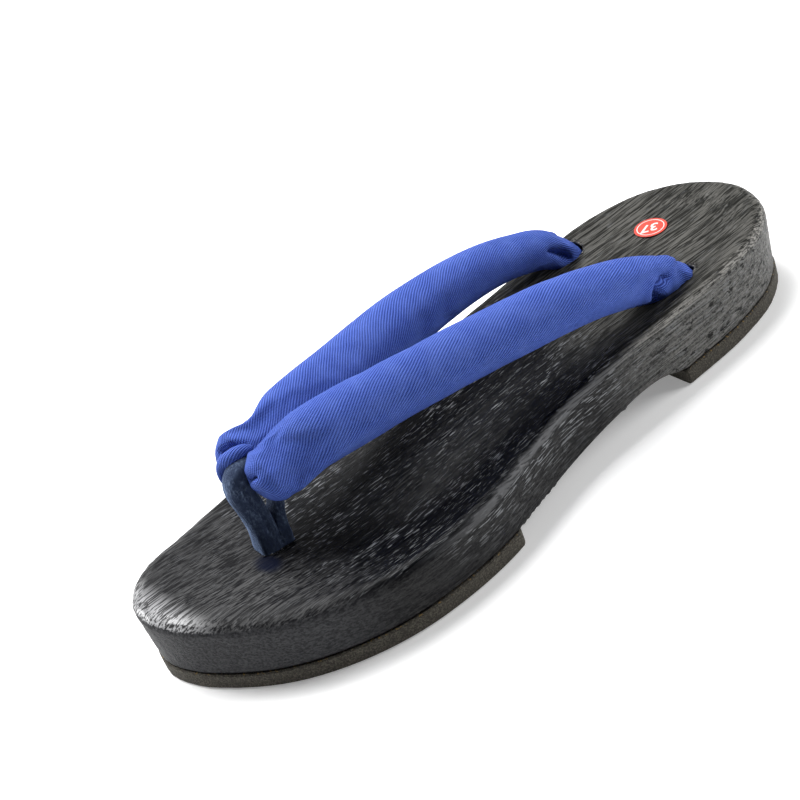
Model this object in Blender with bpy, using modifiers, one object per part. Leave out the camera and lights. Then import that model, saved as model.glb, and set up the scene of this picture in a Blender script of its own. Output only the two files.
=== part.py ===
"""Left shoe of a wooden clog of the geta kind, on two rubber pads, with a padded cloth strap.

Metres, +Z up. The toe points to -Y, the heel to +Y and the outer side of the left foot to +X.
The origin is the middle of the bounding box, on the floor.
"""
from math import cos, pi, radians, sin, sqrt

import bmesh
import bpy
import numpy as np
from mathutils import Matrix, Vector

# Wooden base: plan
SOLE_LENGTH = 0.2482
BALL_WIDTH = 0.0880
WAIST_WIDTH = 0.0690
HEEL_WIDTH = 0.0684
OUTLINE_STEPS = 144        # points round the outline, an even number

# Wooden base: heights over the floor
TOE_RIM = 0.0262
BALL_RIM = 0.0226
WAIST_RIM = 0.0258
INSTEP_RIM = 0.0292
BACK_RIM = 0.0280
ARCH_RISE = 0.0038         # of the underside between the pads
WALL_DRAFT = 0.0010        # how far the wall leans in towards the floor
LOWER_CHAMFER = 0.0006

# Footbed: rolled rim and dish
RIM_ROLL = 0.0040          # width of the rolled rim at the sides
TOE_ROLL = 0.0090          # and at the toe
ROLL_HEIGHT = 0.0034
DISH_DEPTH = 0.0028
DISH_SLOPE = 0.0150        # width of the slope from the rim down into the dish
DISH_COLUMNS = 6           # columns of vertices across the middle

# Rubber pads
PAD_THICKNESS = 0.0055
PAD_GAP = 0.0003           # glue line
FORE_PAD_LENGTH = 0.1024   # from the toe
HEEL_PAD_LENGTH = 0.0667   # from the back of the heel
FORE_PAD_CORNER = 0.0032
HEEL_PAD_CORNER = 0.0014
PAD_EDGE = 0.0005
PAD_OVERHANG = 0.0004      # how far a pad stands out past the wood

# Strap holes, measured from the toe tip or the heel back, and from the heel's centre line
TOE_HOLE_SETBACK = 0.0452
TOE_HOLE_ACROSS = 0.0007
OUTER_HOLE_SETBACK = 0.0493
OUTER_HOLE_ACROSS = 0.0210
INNER_HOLE_SETBACK = 0.0582
INNER_HOLE_ACROSS = -0.0246
HOLE_CLEARANCE = 0.0007
HOLE_LEAN = radians(60)    # slope of the side holes, towards the heel
HOLE_DEPTH = 0.0120

# Strap
STRAP_THICKNESS = 0.0192
STRAP_CLEARANCE = 0.0185   # under the strap, at the nose
NOSE_SPREAD = 0.0068       # of each arm's nose from the loop's middle
NOSE_SETBACK = 0.0062      # of the nose's centre behind the toe hole
TAIL_THICKNESS = 0.0090
STRAP_SIDES = 16
ROUTE_STEPS = 22

# Toe loop
LOOP_WIDTH = 0.0070
LOOP_STRIP = 0.0029        # thickness over the strap and down its rear
LOOP_FRONT_LEG = 0.0047    # thickness of the rolled front leg
LOOP_FORK = 0.0060         # height over the footbed at which the legs part
LOOP_FOOT = 0.0094         # length of both legs together, in the toe hole
LOOP_CLEARANCE = 0.0003
LOOP_EDGE = 0.0008
NECK_LENGTH = 0.0125       # of the pinched strap inside the loop
NECK_HEIGHT = 0.0105
NECK_DROP = 0.0025         # of the neck's middle under the strap's middle
NECK_SETFORWARD = 0.0010   # of the neck's middle before the nose's centre

# Size sticker
STICKER_DIAMETER = 0.0113
STICKER_THICKNESS = 0.0003
STICKER_GAP = 0.0003
STICKER_SETBACK = 0.0333   # of its middle from the heel back
STICKER_ACROSS = -0.0086

# Plan of the footbed, right round from the toe tip: share of the length, share of a width
OUTLINE = (
    # along, across, width that the row follows
    (0.000, -0.055, BALL_WIDTH),
    (0.014, 0.095, BALL_WIDTH),
    (0.040, 0.212, BALL_WIDTH),
    (0.092, 0.370, BALL_WIDTH),
    (0.158, 0.484, BALL_WIDTH),
    (0.231, 0.551, BALL_WIDTH),
    (0.312, 0.569, BALL_WIDTH),
    (0.386, 0.549, BALL_WIDTH),
    (0.459, 0.628, WAIST_WIDTH),
    (0.540, 0.556, WAIST_WIDTH),
    (0.640, 0.534, WAIST_WIDTH),
    (0.745, 0.527, HEEL_WIDTH),
    (0.843, 0.498, HEEL_WIDTH),
    (0.924, 0.408, HEEL_WIDTH),
    (0.977, 0.248, HEEL_WIDTH),
    (1.000, 0.020, HEEL_WIDTH),
    (0.984, -0.222, HEEL_WIDTH),
    (0.934, -0.400, HEEL_WIDTH),
    (0.843, -0.492, HEEL_WIDTH),
    (0.745, -0.482, HEEL_WIDTH),
    (0.640, -0.458, WAIST_WIDTH),
    (0.540, -0.462, WAIST_WIDTH),
    (0.439, -0.496, WAIST_WIDTH),
    (0.337, -0.419, BALL_WIDTH),
    (0.255, -0.423, BALL_WIDTH),
    (0.182, -0.384, BALL_WIDTH),
    (0.112, -0.338, BALL_WIDTH),
    (0.056, -0.298, BALL_WIDTH),
    (0.018, -0.210, BALL_WIDTH),
)
HEEL_ROW = 15              # the row of the heel tip

RIM_HEIGHTS = (
    # along, height
    (0.00, TOE_RIM),
    (0.25, BALL_RIM),
    (0.50, WAIST_RIM),
    (0.75, INSTEP_RIM),
    (1.00, BACK_RIM),
)

DISH = (
    # along, share of the dish's depth
    (0.00, 0.00),
    (0.12, 0.25),
    (0.28, 1.00),
    (0.42, 0.90),
    (0.55, 0.80),
    (0.75, 0.85),
    (0.90, 0.70),
    (1.00, 0.30),
)

ARCH = (
    # share of the way from the fore pad to the heel pad, share of the rise
    (0.00, 0.00),
    (0.20, 0.02),
    (0.40, 0.16),
    (0.62, 0.72),
    (0.76, 1.00),
    (0.90, 0.80),
    (1.00, 0.00),
)

OUTER_ARM = (
    # share of the way from the nose to the hole, bulge, clear height under it, thickness
    (0.00, 0.000, 1.000, 0.95),
    (0.10, 0.005, 0.970, 1.02),
    (0.30, 0.022, 0.960, 0.98),
    (0.50, 0.036, 0.810, 0.95),
    (0.70, 0.040, 0.580, 0.92),
    (0.87, 0.029, 0.215, 0.84),
    (0.93, 0.019, 0.110, 0.77),
    (0.97, 0.008, 0.035, 0.66),
    (1.00, 0.000, -0.130, 0.49),
)

INNER_ARM = (
    # share of the way from the nose to the hole, bulge, clear height under it, thickness
    (0.00, 0.000, 0.960, 0.96),
    (0.10, 0.007, 0.850, 1.02),
    (0.30, 0.025, 0.640, 1.03),
    (0.50, 0.033, 0.520, 1.01),
    (0.70, 0.029, 0.390, 0.87),
    (0.87, 0.008, 0.180, 0.72),
    (0.93, 0.002, 0.095, 0.66),
    (0.97, 0.000, 0.040, 0.59),
    (1.00, 0.000, -0.130, 0.48),
)

COLOURS = {
    # colour, roughness
    "black_wood": ((0.035, 0.034, 0.034), 0.42),
    "black_rubber": ((0.050, 0.045, 0.036), 0.85),
    "blue_cloth": ((0.035, 0.085, 0.440), 0.90),
    "navy_suede": ((0.020, 0.030, 0.060), 0.95),
    "red_paper": ((0.800, 0.080, 0.055), 0.60),
}


def clear_scene():
    for found in list(bpy.data.objects):
        bpy.data.objects.remove(found, do_unlink=True)


def new_collection(name):
    made = bpy.data.collections.new(name)
    bpy.context.scene.collection.children.link(made)
    return made


def material(name):
    colour, roughness = COLOURS[name]
    made = bpy.data.materials.new(name)
    made.use_nodes = True
    shader = made.node_tree.nodes["Principled BSDF"]
    shader.inputs["Base Color"].default_value = (*colour, 1.0)
    shader.inputs["Roughness"].default_value = roughness
    shader.inputs["Metallic"].default_value = 0.0
    made.diffuse_color = (*colour, 1.0)
    return made


def table(rows, at):
    """Smooth reading of a table whose first column is the place."""
    rows = np.array(rows, dtype=float)
    places = rows[:, 0]
    values = rows[:, 1:]
    slopes = np.gradient(values, places, axis=0)
    at = np.clip(at, places[0], places[-1])
    left = np.clip(np.searchsorted(places, at) - 1, 0, len(places) - 2)
    span = places[left + 1] - places[left]
    share = (at - places[left]) / span
    keep = 2 * share**3 - 3 * share**2 + 1
    rise = (share**3 - 2 * share**2 + share) * span
    fall = (share**3 - share**2) * span
    return keep * values[left] + rise * slopes[left] + (1 - keep) * values[left + 1] + fall * slopes[left + 1]


def closed_chain(points, first, last, steps):
    """Evenly spaced points on the closed smooth curve, from one of its points to a later one."""
    points = np.array(points)
    count = len(points)
    wrapped = np.array([points[index % count] for index in range(-3, count + 4)])
    lengths = np.linalg.norm(np.diff(wrapped, axis=0), axis=1)
    knots = np.concatenate([[0], np.cumsum(lengths)])
    rows = np.column_stack([knots, wrapped])
    start, end = knots[first + 3], knots[last + 3]
    fine = np.array([table(rows, at) for at in np.linspace(start, end, 600)])
    along = np.concatenate([[0], np.cumsum(np.linalg.norm(np.diff(fine, axis=0), axis=1))])
    even = np.linspace(0, along[-1], steps + 1)
    return np.column_stack([np.interp(even, along, fine[:, axis]) for axis in (0, 1)])


def make_outline():
    points = [(across * width, (along - 0.5) * SOLE_LENGTH) for along, across, width in OUTLINE]
    half = OUTLINE_STEPS // 2
    outer = closed_chain(points, 0, HEEL_ROW, half)
    inner = closed_chain(points, HEEL_ROW, len(points), half)
    return np.vstack([outer[:-1], inner[:-1]])


def outward(outline):
    """Unit normals of a closed outline, pointing out of it."""
    along = np.roll(outline, -1, axis=0) - np.roll(outline, 1, axis=0)
    along /= np.linalg.norm(along, axis=1)[:, None]
    return np.column_stack([along[:, 1], -along[:, 0]]) * winding(outline)


def winding(outline):
    turned = np.roll(outline, -1, axis=0)
    return np.sign((outline[:, 0] * turned[:, 1] - turned[:, 0] * outline[:, 1]).sum())


PLAN = make_outline()
PLAN_NORMALS = outward(PLAN)


def inset(distance):
    """The outline moved inwards, by one distance or by one for each point."""
    return PLAN - PLAN_NORMALS * np.reshape(distance, (-1, 1))


def share_along(y):
    return y / SOLE_LENGTH + 0.5


def rim_height(y):
    return table(RIM_HEIGHTS, share_along(y))[0]


def roll_width(y):
    """The rolled rim is wide round the toe and narrow along the sides and heel."""
    fade = min(1.0, max(0.0, (share_along(y) - 0.02) / 0.22))
    fade = fade * fade * (3 - 2 * fade)
    return TOE_ROLL + (RIM_ROLL - TOE_ROLL) * fade


def edge_distance(x, y):
    """Distance from a place on the footbed to the outline."""
    start = PLAN
    run = np.roll(PLAN, -1, axis=0) - start
    gap = np.array([x, y]) - start
    share = np.clip((gap * run).sum(axis=1) / (run**2).sum(axis=1), 0, 1)
    return np.linalg.norm(gap - run * share[:, None], axis=1).min()


def footbed_height(x, y, distance=None):
    """Height of the wood's top: a rolled rim, then a slope into the dish."""
    if distance is None:
        distance = edge_distance(x, y)
    roll = roll_width(y)
    short = max(0.0, 1 - distance / roll)
    drop = ROLL_HEIGHT * (1 - sqrt(1 - short * short))
    share = min(1.0, max(0.0, (distance - roll * 0.6) / DISH_SLOPE))
    depth = DISH_DEPTH * table(DISH, share_along(y))[0]
    return rim_height(y) - drop - depth * share * share * (3 - 2 * share)


def underside_height(y):
    """Height of the wood's underside: flat on the pads, arched between them."""
    start = -SOLE_LENGTH / 2 + FORE_PAD_LENGTH
    end = SOLE_LENGTH / 2 - HEEL_PAD_LENGTH
    rise = table(ARCH, (y - start) / (end - start))[0]
    return PAD_THICKNESS + PAD_GAP + ARCH_RISE * max(0.0, rise)


def link(made, collection, slot):
    collection.objects.link(made)
    if slot:
        made.data.materials.append(slot)
    return made


def mesh_object(name, build, collection, slot=None):
    mesh = bpy.data.meshes.new(name)
    build.to_mesh(mesh)
    build.free()
    mesh.shade_smooth()
    mesh.set_sharp_from_angle(angle=radians(40))
    return link(bpy.data.objects.new(name, mesh), collection, slot)


def join_rings(build, lower, upper):
    count = len(lower)
    for index in range(count):
        after = (index + 1) % count
        build.faces.new((lower[index], lower[after], upper[after], upper[index]))


def close_across(build, ring, height, up):
    """Fill a ring with rows of vertices from its outer side to its inner side."""
    count = len(ring)
    rows = [[ring[0]]]
    for index in range(1, count // 2):
        left, right = ring[index], ring[count - index]
        row = [left]
        for column in range(1, DISH_COLUMNS + 1):
            place = left.co.lerp(right.co, column / (DISH_COLUMNS + 1))
            row.append(build.verts.new((place.x, place.y, height(place.x, place.y))))
        rows.append(row + [right])
    rows.append([ring[count // 2]])
    for near, far in zip(rows, rows[1:]):
        for column in range(DISH_COLUMNS + 1):
            corners = [near[min(column, len(near) - 1)], near[min(column + 1, len(near) - 1)],
                       far[min(column + 1, len(far) - 1)], far[min(column, len(far) - 1)]]
            face = list(dict.fromkeys(corners))
            build.faces.new(face if up else face[::-1])


def wood_rings():
    """Rings of points round the base, from its underside over the wall and the rolled rim."""
    rings = []
    for lean, rise in ((WALL_DRAFT + LOWER_CHAMFER, 0.0), (WALL_DRAFT, LOWER_CHAMFER)):
        ring = inset(lean)
        rings.append([(x, y, underside_height(y) + rise) for x, y in ring])
    rolls = np.array([roll_width(y) for y in PLAN[:, 1]])
    for share in (0.0, 0.06, 0.24, 0.55, 1.0):
        ring = inset(rolls * share)
        rings.append([(x, y, footbed_height(x, y, roll * share)) for (x, y), roll in zip(ring, rolls)])
    for extra in (DISH_SLOPE * 0.35, DISH_SLOPE * 0.7):
        ring = inset(rolls + extra)
        rings.append([(x, y, footbed_height(x, y, roll + extra)) for (x, y), roll in zip(ring, rolls)])
    return rings


def wood_base(collection, cutters, slot):
    build = bmesh.new()
    rings = [[build.verts.new(point) for point in ring] for ring in wood_rings()]
    for lower, upper in zip(rings, rings[1:]):
        join_rings(build, lower, upper)
    close_across(build, rings[-1], footbed_height, True)
    close_across(build, rings[0], lambda x, y: underside_height(y), False)
    bmesh.ops.recalc_face_normals(build, faces=build.faces)
    base = mesh_object("wood_base", build, collection, slot)
    for cutter in (toe_hole(cutters), side_hole("outer_hole", OUTER_HOLE, cutters),
                   side_hole("inner_hole", INNER_HOLE, cutters)):
        cut(base, cutter)
    return base


def cut(made, cutter, kind="DIFFERENCE"):
    step = made.modifiers.new(cutter.name, "BOOLEAN")
    step.operation = kind
    step.solver = "EXACT"
    step.object = cutter


def hide_cutter(cutter):
    cutter.hide_render = True
    cutter.display_type = "WIRE"
    return cutter


def toe_hole(cutters):
    """The slot that both legs of the loop go down through, with round corners."""
    build = bmesh.new()
    bmesh.ops.create_cube(build, size=1.0)
    room = 2 * HOLE_CLEARANCE
    tall = 4 * TOE_RIM
    bmesh.ops.scale(build, vec=(LOOP_WIDTH + room, LOOP_FOOT + room, tall), verts=build.verts)
    uprights = [edge for edge in build.edges if abs(edge.verts[0].co.z - edge.verts[1].co.z) > tall / 2]
    bmesh.ops.bevel(build, geom=uprights, offset=LOOP_EDGE + HOLE_CLEARANCE, segments=3, profile=0.5,
                    affect="EDGES")
    bmesh.ops.translate(build, vec=(TOE_HOLE.x, TOE_HOLE.y, 0), verts=build.verts)
    return hide_cutter(mesh_object("toe_hole", build, cutters))


def side_hole(name, mouth, cutters):
    """A slanted round hole, right through the wood."""
    build = bmesh.new()
    long = 6 * HOLE_DEPTH
    bmesh.ops.create_cone(build, cap_ends=True, segments=28, radius1=TAIL_THICKNESS / 2 + HOLE_CLEARANCE,
                          radius2=TAIL_THICKNESS / 2 + HOLE_CLEARANCE, depth=long)
    turn = Vector((0, 0, -1)).rotation_difference(TAIL_WAY).to_matrix().to_4x4()
    bmesh.ops.transform(build, matrix=Matrix.Translation(mouth) @ turn, verts=build.verts)
    return hide_cutter(mesh_object(name, build, cutters))


def on_footbed(x, y):
    return Vector((x, y, footbed_height(x, y)))


TOE_HOLE = on_footbed(TOE_HOLE_ACROSS, -SOLE_LENGTH / 2 + TOE_HOLE_SETBACK)
OUTER_HOLE = on_footbed(OUTER_HOLE_ACROSS, SOLE_LENGTH / 2 - OUTER_HOLE_SETBACK)
INNER_HOLE = on_footbed(INNER_HOLE_ACROSS, SOLE_LENGTH / 2 - INNER_HOLE_SETBACK)
TAIL_WAY = Vector((0, cos(HOLE_LEAN), -sin(HOLE_LEAN)))
NOSE_HEIGHT = TOE_HOLE.z + STRAP_CLEARANCE + STRAP_THICKNESS / 2


def pad(name, ring_points, collection, slot):
    """A flat rubber pad: its outline is a closed curve with half its thickness as extrude."""
    curve = bpy.data.curves.new(name, "CURVE")
    curve.dimensions = "2D"
    curve.fill_mode = "BOTH"
    curve.extrude = PAD_THICKNESS / 2 - PAD_EDGE
    curve.bevel_depth = PAD_EDGE
    curve.bevel_resolution = 0
    curve.offset = -PAD_EDGE
    line = curve.splines.new("POLY")
    line.points.add(len(ring_points) - 1)
    for point, (x, y) in zip(line.points, ring_points):
        point.co = (x, y, 0, 1)
    line.use_cyclic_u = True
    source = link(bpy.data.objects.new(name + "_outline", curve), collection, None)
    source.location.z = PAD_THICKNESS / 2
    return as_mesh(name, source, collection, slot)


def as_mesh(name, source, collection, slot=None):
    """A curve object as a welded mesh object; the curve is removed."""
    bpy.context.view_layer.update()
    seen = source.evaluated_get(bpy.context.evaluated_depsgraph_get())
    mesh = bpy.data.meshes.new_from_object(seen)
    build = bmesh.new()
    build.from_mesh(mesh)
    bmesh.ops.transform(build, matrix=source.matrix_world, verts=build.verts)
    bmesh.ops.remove_doubles(build, verts=build.verts, dist=0.00001)
    bmesh.ops.recalc_face_normals(build, faces=build.faces)
    bpy.data.objects.remove(source, do_unlink=True)
    return mesh_object(name, build, collection, slot)


def pad_outline(first, last, round_by):
    """The base's lower outline between two places along the shoe, with round corners on the cut ends."""
    ring = inset(WALL_DRAFT - PAD_OVERHANG)
    half = OUTLINE_STEPS // 2
    outer = [point for point in ring[:half + 1] if first <= point[1] <= last]
    inner = [point for point in np.vstack([ring[half:], ring[:1]]) if first <= point[1] <= last]
    cut_front = first > ring[:, 1].min()
    end = first if cut_front else last
    inwards = 1 if cut_front else -1
    sides = {}
    for side, chain in (("outer", outer), ("inner", inner)):
        kept = [point for point in chain if (point[1] - end) * inwards >= round_by]
        sides[side] = kept
    toward_outer = (ring_x(ring[:half + 1], end), ring_x(ring[:half + 1], end + inwards * round_by))
    toward_inner = (ring_x(ring[half:], end), ring_x(ring[half:], end + inwards * round_by))
    corner = []
    for x_end, x_side in (toward_outer, toward_inner):
        sign = 1 if x_end > 0 else -1
        middle = Vector((x_end - sign * round_by, end + inwards * round_by))
        arc = []
        for step in range(1, 5):
            turn = radians(90) * step / 5
            wide = round_by + sign * (x_side - x_end) * cos(turn)
            arc.append((middle.x + sign * wide * cos(turn), middle.y - inwards * round_by * sin(turn)))
        corner.append(arc)
    outer_arc, inner_arc = corner
    if cut_front:
        return outer_arc[::-1] + sides["outer"] + sides["inner"][1:] + inner_arc
    return sides["outer"] + outer_arc + inner_arc[::-1] + sides["inner"][:-1]


def ring_x(chain, y):
    order = np.argsort(chain[:, 1])
    return float(np.interp(y, chain[order, 1], chain[order, 0]))


def arm_route(rows, hole, side):
    """Middle line and radius of one arm: a round nose, the table's run, then the tail in the hole."""
    nose = Vector((TOE_HOLE.x + side * NOSE_SPREAD, TOE_HOLE.y + NOSE_SETBACK, 0))
    run = hole - nose
    route = []
    for share in np.linspace(0, 1, ROUTE_STEPS):
        bulge, clear, thick = table(rows, share)
        x = nose.x + run.x * share + side * bulge * (hole.y - nose.y)
        y = nose.y + run.y * share
        floor = TOE_HOLE.z + (hole.z - TOE_HOLE.z) * share
        radius = max(TAIL_THICKNESS, STRAP_THICKNESS * thick) / 2
        route.append((Vector((x, y, floor + STRAP_CLEARANCE * clear + radius)), radius))
    first, radius = route[0]
    back = (first - route[1][0]).normalized()
    cap = []
    for degrees in (78, 52, 26):
        turn = radians(degrees)
        cap.append((first + back * radius * sin(turn), radius * cos(turn)))
    tail = [(hole + TAIL_WAY * HOLE_DEPTH * share, TAIL_THICKNESS / 2) for share in (0.35, 0.7, 1.0)]
    return cap + route + tail


def arm(name, route, collection, slot=None):
    curve = bpy.data.curves.new(name, "CURVE")
    curve.dimensions = "3D"
    curve.bevel_depth = 1.0
    curve.bevel_resolution = STRAP_SIDES // 2 - 2
    curve.use_fill_caps = True
    curve.twist_mode = "MINIMUM"
    line = curve.splines.new("POLY")
    line.points.add(len(route) - 1)
    for point, (place, radius) in zip(line.points, route):
        point.co = (*place, 1)
        point.radius = radius
    source = link(bpy.data.objects.new(name + "_line", curve), collection, None)
    return as_mesh(name, source, collection, slot)


def strap(collection, cutters, slot):
    outer = arm("strap", arm_route(OUTER_ARM, OUTER_HOLE, 1), collection, slot)
    inner = hide_cutter(arm("inner_arm", arm_route(INNER_ARM, INNER_HOLE, -1), cutters))
    cut(outer, inner, "UNION")
    cut(outer, hide_cutter(loop_band("loop_room", LOOP_CLEARANCE, cutters)))
    return outer


def loop_outlines(room):
    """Side view of the loop, along Y and Z: its outside, and the opening for the strap's neck."""
    front = TOE_HOLE.y - LOOP_FOOT / 2
    rear = TOE_HOLE.y + LOOP_FOOT / 2
    bottom = TOE_HOLE.z - HOLE_DEPTH
    middle = Vector((TOE_HOLE.y + NOSE_SETBACK - NECK_SETFORWARD, NOSE_HEIGHT - NECK_DROP))
    fork = Vector((front + LOOP_FRONT_LEG, TOE_HOLE.z + LOOP_FORK))
    opening = half_ellipse(middle, NECK_LENGTH / 2, NECK_HEIGHT / 2)
    outside = half_ellipse(middle, NECK_LENGTH / 2 + LOOP_STRIP, NECK_HEIGHT / 2 + LOOP_STRIP)
    start, end = opening[-1], opening[0]
    for share in (0.3, 0.6, 1.0):
        ease = share * (2 - share)
        opening.append(Vector((start.x + (fork.x - start.x) * ease, start.y + (fork.y - start.y) * share)))
    for share in (0.9, 0.6, 0.3):
        opening.append(Vector((end.x + (fork.x - end.x) * share**1.2, end.y + (fork.y - end.y) * share)))
    start, end = outside[-1], outside[0]
    outside += [Vector((front, (start.y + TOE_HOLE.z) / 2)), Vector((front, bottom)), Vector((rear, bottom))]
    for share in (1.0, 0.66, 0.33):
        outside.append(Vector((end.x + (rear - end.x) * share**1.2, end.y + (TOE_HOLE.z - end.y) * share)))
    return grown(outside, room), grown(opening, -room)


def half_ellipse(middle, wide, high):
    """The upper half of an ellipse, from its rear end over the top to its front end."""
    turns = [pi * step / 12 for step in range(13)]
    return [Vector((middle.x + wide * cos(turn), middle.y + high * sin(turn))) for turn in turns]


def grown(points, room):
    """A closed outline moved outwards by a room, or inwards by a negative one."""
    line = np.array([tuple(point) for point in points])
    return line + outward(line) * room


def loop_band(name, room, collection, slot=None):
    """The suede loop as a flat outline with an opening, as wide as the strip."""
    curve = bpy.data.curves.new(name, "CURVE")
    curve.dimensions = "2D"
    curve.fill_mode = "BOTH"
    curve.extrude = LOOP_WIDTH / 2 + room
    for outline in loop_outlines(room):
        line = curve.splines.new("POLY")
        line.points.add(len(outline) - 1)
        for point, (along, height) in zip(line.points, outline):
            point.co = (along, height, 0, 1)
        line.use_cyclic_u = True
    source = link(bpy.data.objects.new(name + "_outline", curve), collection, None)
    source.rotation_euler = (radians(90), 0, radians(90))
    source.location.x = TOE_HOLE.x
    return as_mesh(name, source, collection, slot)


def toe_loop(collection, slot):
    band = loop_band("toe_loop", 0.0, collection, slot)
    soften = band.modifiers.new("soft_edges", "BEVEL")
    soften.width = LOOP_EDGE
    soften.segments = 2
    soften.limit_method = "ANGLE"
    soften.angle_limit = radians(60)
    return band


def size_sticker(collection, slot):
    """A thin disc that follows the footbed."""
    build = bmesh.new()
    centre = Vector((STICKER_ACROSS, SOLE_LENGTH / 2 - STICKER_SETBACK, 0))
    bmesh.ops.create_cone(build, cap_ends=True, segments=32, radius1=STICKER_DIAMETER / 2,
                          radius2=STICKER_DIAMETER / 2, depth=STICKER_THICKNESS)
    for point in build.verts:
        x, y = point.co.x + centre.x, point.co.y + centre.y
        upper = point.co.z > 0
        level = footbed_height(x, y) + STICKER_GAP + (STICKER_THICKNESS if upper else 0)
        point.co = (x, y, level)
    return mesh_object("size_sticker", build, collection, slot)


def centre_parts(parts, cutters):
    """Bring the middle of the bounding box over the origin."""
    shift = -(PLAN[:, 0].min() + PLAN[:, 0].max()) / 2
    drop = -(PLAN[:, 1].min() + PLAN[:, 1].max()) / 2
    for made in list(parts.objects) + list(cutters.objects):
        made.location.x += shift
        made.location.y += drop


def main():
    clear_scene()
    parts = new_collection("geta_sandal")
    cutters = new_collection("cutters")
    wood = material("black_wood")
    rubber = material("black_rubber")
    half = SOLE_LENGTH / 2
    wood_base(parts, cutters, wood)
    fore = pad_outline(-half, -half + FORE_PAD_LENGTH, FORE_PAD_CORNER)
    heel = pad_outline(half - HEEL_PAD_LENGTH, half, HEEL_PAD_CORNER)
    pad("fore_rubber_sole", fore, parts, rubber)
    pad("heel_rubber_sole", heel, parts, rubber)
    strap(parts, cutters, material("blue_cloth"))
    toe_loop(parts, material("navy_suede"))
    size_sticker(parts, material("red_paper"))
    centre_parts(parts, cutters)


main()
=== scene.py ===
from math import cos, pi, radians, sin, sqrt

import bmesh
import bpy
import numpy as np
from mathutils import Matrix, Vector, noise
from mathutils.bvhtree import BVHTree


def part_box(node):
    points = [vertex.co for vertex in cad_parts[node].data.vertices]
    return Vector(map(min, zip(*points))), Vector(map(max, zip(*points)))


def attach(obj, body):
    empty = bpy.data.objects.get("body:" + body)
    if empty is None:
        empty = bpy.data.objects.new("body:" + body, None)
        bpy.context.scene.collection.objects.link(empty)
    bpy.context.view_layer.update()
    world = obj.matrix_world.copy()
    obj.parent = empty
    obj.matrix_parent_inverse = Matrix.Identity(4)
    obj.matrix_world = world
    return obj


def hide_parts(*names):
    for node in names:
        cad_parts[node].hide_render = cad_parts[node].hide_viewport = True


# Geta sandal, left shoe: black carved base on two rubber pads, padded blue twill strap, navy suede toe loop.
# Metres, +Z up; the toe points to -Y, the heel to +Y, the outer side of the foot is +X. The grain runs along Y.

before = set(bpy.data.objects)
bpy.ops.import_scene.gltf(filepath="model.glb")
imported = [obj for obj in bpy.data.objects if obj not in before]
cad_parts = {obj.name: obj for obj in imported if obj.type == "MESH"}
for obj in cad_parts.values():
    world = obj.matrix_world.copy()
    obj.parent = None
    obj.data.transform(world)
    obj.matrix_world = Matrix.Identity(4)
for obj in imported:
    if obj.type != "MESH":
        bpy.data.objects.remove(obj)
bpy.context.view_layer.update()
scene = bpy.context.scene
mm = 0.001


# small helpers

def deselectAll():
    if bpy.context.object and bpy.context.object.mode != "OBJECT":
        bpy.ops.object.mode_set(mode="OBJECT")
    bpy.ops.object.select_all(action="DESELECT")


def pick(piece):
    deselectAll()
    piece.select_set(True)
    bpy.context.view_layer.objects.active = piece


def copyOfNode(node, name):
    # the CAD node stays as it is; its copy's loose triangles are merged before anything else
    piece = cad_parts[node].copy()
    piece.data = piece.data.copy()
    piece.parent = None
    for key in list(piece.keys()):
        del piece[key]
    piece.name = piece.data.name = name
    scene.collection.objects.link(piece)
    pick(piece)
    bpy.ops.object.mode_set(mode="EDIT")
    bpy.ops.mesh.select_all(action="SELECT")
    bpy.ops.mesh.remove_doubles(threshold=0.00001)
    bpy.ops.mesh.customdata_custom_splitnormals_clear()
    bpy.ops.object.mode_set(mode="OBJECT")
    piece.data.materials.clear()
    return piece


def modify(piece, kind, **settings):
    pick(piece)
    modifier = piece.modifiers.new(kind.title(), kind)
    for key, value in settings.items():
        setattr(modifier, key, value)
    bpy.ops.object.modifier_apply(modifier=modifier.name)


def settle(piece):
    # place, turn and size go into the mesh
    pick(piece)
    bpy.ops.object.transform_apply(location=True, rotation=True, scale=True)


def points(piece):
    co = np.zeros(len(piece.data.vertices) * 3)
    piece.data.vertices.foreach_get("co", co)
    return co.reshape(-1, 3)


def normals(piece):
    out = np.zeros(len(piece.data.vertices) * 3)
    piece.data.vertex_normals.foreach_get("vector", out)
    return out.reshape(-1, 3)


def movePoints(piece, co):
    piece.data.vertices.foreach_set("co", np.ascontiguousarray(co, dtype=np.float32).ravel())
    piece.data.update()


def softNoise(co, size, seed=0.0):
    # smooth noise in -1..1 for many points; size is the wavelength along each axis
    size = np.array(size)
    return np.array([noise.noise(Vector(p / size) + Vector((seed, seed, seed))) for p in co])


def smoothStep(low, high, value):
    share = np.clip((value - low) / (high - low), 0, 1)
    return share * share * (3 - 2 * share)


def smoothTable(rows, at):
    # smooth reading of a table whose first column is the place
    rows = np.array(rows, dtype=float)
    places, values = rows[:, 0], rows[:, 1:]
    slopes = np.gradient(values, places, axis=0)
    at = np.clip(at, places[0], places[-1])
    left = np.clip(np.searchsorted(places, at) - 1, 0, len(places) - 2)
    span = (places[left + 1] - places[left])[:, None]
    share = (at - places[left])[:, None] / span
    keep = 2 * share**3 - 3 * share**2 + 1
    rise = (share**3 - 2 * share**2 + share) * span
    fall = (share**3 - share**2) * span
    return keep * values[left] + rise * slopes[left] + (1 - keep) * values[left + 1] + fall * slopes[left + 1]


# material helpers

def newMaterial(name):
    made = bpy.data.materials.new(name)
    made.use_nodes = True
    tree = made.node_tree
    return made, tree, tree.nodes["Principled BSDF"]


def add(tree, kind, inputs, **settings):
    made = tree.nodes.new("ShaderNode" + kind)
    for key, value in settings.items():
        setattr(made, key, value)
    for key, value in inputs.items():
        socket = made.inputs[key]
        if isinstance(value, bpy.types.NodeSocket):
            tree.links.new(value, socket)
        else:
            socket.default_value = value
    return made


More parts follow.
